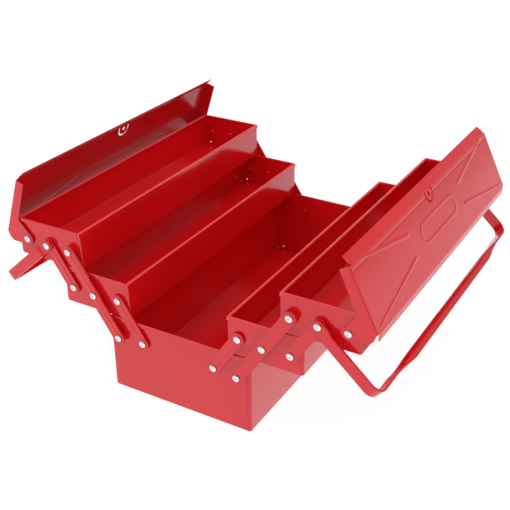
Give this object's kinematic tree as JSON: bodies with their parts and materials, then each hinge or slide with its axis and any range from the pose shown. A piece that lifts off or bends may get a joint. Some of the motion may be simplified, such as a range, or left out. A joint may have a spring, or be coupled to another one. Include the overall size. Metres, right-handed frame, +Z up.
{
  "type": "cantilever toolbox",
  "caption": "Red enamelled steel cantilever toolbox, standing open: a deep base, linked trays on both sides, folded lids and a pair of strip handles.",
  "frame": {"origin": "centre of the flat underside of the base box", "axes": "+X across the box towards the right-hand trays, +Y along the box towards the rear end, +Z up"},
  "size_m": [0.5354, 0.4476, 0.2667],
  "materials": {
    "red_enamel": "gloss",
    "rivet_plating": "bright zinc plate"
  },
  "bodies": {
    "base": {"base_shell": "red_enamel", "base_front_end": "red_enamel", "base_rear_end": "red_enamel", "base_rivets": "rivet_plating", "base_spacers": "red_enamel"},
    "right_long_links": {"right_front_long_link": "red_enamel", "right_rear_long_link": "red_enamel"},
    "right_inner_links": {"right_front_inner_link": "red_enamel", "right_rear_inner_link": "red_enamel"},
    "right_lower_tray": {"right_lower_tray_shell": "red_enamel", "right_lower_tray_front_end": "red_enamel", "right_lower_tray_rear_end": "red_enamel", "right_lower_tray_rivets": "rivet_plating", "right_lower_tray_spacers": "red_enamel"},
    "right_outer_links": {"right_front_outer_link": "red_enamel", "right_rear_outer_link": "red_enamel"},
    "right_upper_tray": {"right_upper_tray_shell": "red_enamel", "right_upper_tray_front_end": "red_enamel", "right_upper_tray_rear_end": "red_enamel", "right_upper_tray_rivets": "rivet_plating", "right_upper_tray_spacers": "red_enamel"},
    "right_lid": {"right_lid": "red_enamel"},
    "right_handle": {"right_handle_front_arm": "red_enamel", "right_handle_rear_arm": "red_enamel", "right_handle_front_corner": "red_enamel", "right_handle_rear_corner": "red_enamel", "right_handle_grip": "red_enamel"},
    "left_long_links": {"left_front_long_link": "red_enamel", "left_rear_long_link": "red_enamel"},
    "left_inner_links": {"left_front_inner_link": "red_enamel", "left_rear_inner_link": "red_enamel"},
    "left_lower_tray": {"left_lower_tray_shell": "red_enamel", "left_lower_tray_front_end": "red_enamel", "left_lower_tray_rear_end": "red_enamel", "left_lower_tray_rivets": "rivet_plating", "left_lower_tray_spacers": "red_enamel"},
    "left_outer_links": {"left_front_outer_link": "red_enamel", "left_rear_outer_link": "red_enamel"},
    "left_upper_tray": {"left_upper_tray_shell": "red_enamel", "left_upper_tray_front_end": "red_enamel", "left_upper_tray_rear_end": "red_enamel", "left_upper_tray_rivets": "rivet_plating", "left_upper_tray_spacers": "red_enamel"},
    "left_lid": {"left_lid": "red_enamel"},
    "left_handle": {"left_handle_front_arm": "red_enamel", "left_handle_rear_arm": "red_enamel", "left_handle_front_corner": "red_enamel", "left_handle_rear_corner": "red_enamel", "left_handle_grip": "red_enamel"}
  },
  "joints": [
    {"name": "right_fold", "type": "hinge", "parent": "base", "child": "right_long_links", "pos_m": [0.0847, 0, 0.0778], "axis": [0, -1, 0], "range_deg": [0, 67]},
    {"name": "right_inner_link_pivot", "type": "hinge", "parent": "base", "child": "right_inner_links", "pos_m": [0.0509, 0, 0.0778], "axis": [0, -1, 0], "range_deg": [0, 67]},
    {"name": "right_lower_tray_pivot", "type": "hinge", "parent": "right_long_links", "child": "right_lower_tray", "pos_m": [0.1185, 0, 0.1288], "axis": [0, -1, 0], "range_deg": [-67, 0]},
    {"name": "right_upper_tray_pivot", "type": "hinge", "parent": "right_long_links", "child": "right_upper_tray", "pos_m": [0.1523, 0, 0.1798], "axis": [0, -1, 0], "range_deg": [-67, 0]},
    {"name": "right_outer_link_pivot", "type": "hinge", "parent": "right_lower_tray", "child": "right_outer_links", "pos_m": [0.1523, 0, 0.1288], "axis": [0, -1, 0], "range_deg": [0, 67]},
    {"name": "right_lid_hinge", "type": "hinge", "parent": "right_upper_tray", "child": "right_lid", "pos_m": [0.2199, 0, 0.1798], "axis": [0, -1, 0], "range_deg": [-26.5, 63.5]},
    {"name": "right_handle_hinge", "type": "hinge", "parent": "right_upper_tray", "child": "right_handle", "pos_m": [0.1861, 0, 0.1798], "axis": [0, -1, 0], "range_deg": [0, 155]},
    {"name": "left_fold", "type": "hinge", "parent": "base", "child": "left_long_links", "pos_m": [-0.0847, 0, 0.0778], "axis": [0, 1, 0], "range_deg": [0, 67]},
    {"name": "left_inner_link_pivot", "type": "hinge", "parent": "base", "child": "left_inner_links", "pos_m": [-0.0509, 0, 0.0778], "axis": [0, 1, 0], "range_deg": [0, 67]},
    {"name": "left_lower_tray_pivot", "type": "hinge", "parent": "left_long_links", "child": "left_lower_tray", "pos_m": [-0.1185, 0, 0.1288], "axis": [0, 1, 0], "range_deg": [-67, 0]},
    {"name": "left_upper_tray_pivot", "type": "hinge", "parent": "left_long_links", "child": "left_upper_tray", "pos_m": [-0.1523, 0, 0.1798], "axis": [0, 1, 0], "range_deg": [-67, 0]},
    {"name": "left_outer_link_pivot", "type": "hinge", "parent": "left_lower_tray", "child": "left_outer_links", "pos_m": [-0.1523, 0, 0.1288], "axis": [0, 1, 0], "range_deg": [0, 67]},
    {"name": "left_lid_hinge", "type": "hinge", "parent": "left_upper_tray", "child": "left_lid", "pos_m": [-0.2199, 0, 0.1798], "axis": [0, 1, 0], "range_deg": [-19, 71]},
    {"name": "left_handle_hinge", "type": "hinge", "parent": "left_upper_tray", "child": "left_handle", "pos_m": [-0.1861, 0, 0.1798], "axis": [0, 1, 0], "range_deg": [0, 155]}
  ],
  "couplings": [
    {"joint": "right_inner_link_pivot", "follows": "right_fold", "ratio": 1},
    {"joint": "right_lower_tray_pivot", "follows": "right_fold", "ratio": -1},
    {"joint": "right_upper_tray_pivot", "follows": "right_fold", "ratio": -1},
    {"joint": "right_outer_link_pivot", "follows": "right_fold", "ratio": 1},
    {"joint": "left_inner_link_pivot", "follows": "left_fold", "ratio": 1},
    {"joint": "left_lower_tray_pivot", "follows": "left_fold", "ratio": -1},
    {"joint": "left_upper_tray_pivot", "follows": "left_fold", "ratio": -1},
    {"joint": "left_outer_link_pivot", "follows": "left_fold", "ratio": 1}
  ]
}
